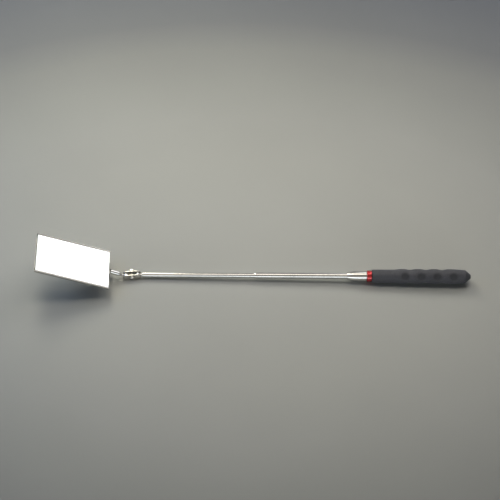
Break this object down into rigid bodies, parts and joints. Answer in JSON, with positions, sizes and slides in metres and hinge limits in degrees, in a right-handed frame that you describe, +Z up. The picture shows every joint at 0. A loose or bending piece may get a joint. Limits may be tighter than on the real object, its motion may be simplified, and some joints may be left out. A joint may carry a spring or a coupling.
{
  "type": "telescoping inspection mirror",
  "caption": "Rectangular inspection mirror on a double-ball clamp and two telescoping chrome tubes, with a black finger-grip handle and a red ring.",
  "frame": {"origin": "middle of the bottom of the bounding box, with the tool drawn out and the mirror raised", "axes": "+X along the tool from the mirror to the grip's butt, +Z up out of the mirror's face, +Y away from the side that the clamp screw's head is on"},
  "size_m": [0.507, 0.0594, 0.0564],
  "materials": {
    "grip_rubber": "matte",
    "red_ring": "glossy",
    "chrome": "polished",
    "plated_steel": "bright plated",
    "brass": "turned",
    "bronze": "rolled spring strip",
    "backing_pad": "matte",
    "mirror": "silvered"
  },
  "bodies": {
    "handle": {"grip": "grip_rubber", "red_ring": "red_ring", "ferrule": "chrome", "outer_tube": "chrome", "tail_plug": "brass"},
    "mid_clip": {"mid_spring_clip": "bronze"},
    "mid_section": {"mid_tube": "chrome", "mid_tail_plug": "brass"},
    "inner_clip": {"inner_spring_clip": "bronze"},
    "inner_section": {"inner_tube": "chrome", "inner_tail_plug": "brass", "shaft_ball_stud": "chrome"},
    "clamp": {"clamp_plate_front": "plated_steel", "clamp_plate_rear": "plated_steel", "clamp_screw": "plated_steel", "clamp_nut": "plated_steel", "clamp_spring_washer": "plated_steel"},
    "mirror_stud": {"mirror_ball_stud": "chrome"},
    "mirror_head": {"stem": "chrome", "stem_bracket": "plated_steel", "bracket_rivet_1": "plated_steel", "bracket_rivet_2": "plated_steel", "bracket_rivet_3": "plated_steel", "bracket_rivet_4": "plated_steel", "mirror_frame": "plated_steel", "backing_pad": "backing_pad", "mirror_glass": "mirror"}
  },
  "joints": [
    {"name": "mid_slide", "type": "slide", "parent": "handle", "child": "mid_clip", "axis": [1, 0, 0], "range_m": [-0.016, 0.101]},
    {"name": "mid_turn", "type": "hinge", "parent": "mid_clip", "child": "mid_section", "pos_m": [0.13309, 0.00362, 0.0087], "axis": [1, 0, 0], "continuous": true},
    {"name": "inner_slide", "type": "slide", "parent": "mid_section", "child": "inner_clip", "axis": [1, 0, 0], "range_m": [-0.008, 0.109]},
    {"name": "inner_turn", "type": "hinge", "parent": "inner_clip", "child": "inner_section", "pos_m": [0.00979, 0.00362, 0.0087], "axis": [1, 0, 0], "continuous": true},
    {"name": "shaft_ball_swing", "type": "hinge", "parent": "inner_section", "child": "clamp", "pos_m": [-0.13751, 0.00362, 0.0087], "axis": [0.1045, -0.9945, 0], "range_deg": [-90, 90]},
    {"name": "mirror_ball_swing", "type": "hinge", "parent": "clamp", "child": "mirror_stud", "pos_m": [-0.15113, 0.00219, 0.0087], "axis": [0.1045, -0.9945, 0], "range_deg": [-64, 115]},
    {"name": "stem_twist", "type": "hinge", "parent": "mirror_stud", "child": "mirror_head", "pos_m": [-0.15113, 0.00219, 0.0087], "axis": [-0.9042, -0.0332, 0.4258], "range_deg": [-180, 180]}
  ]
}
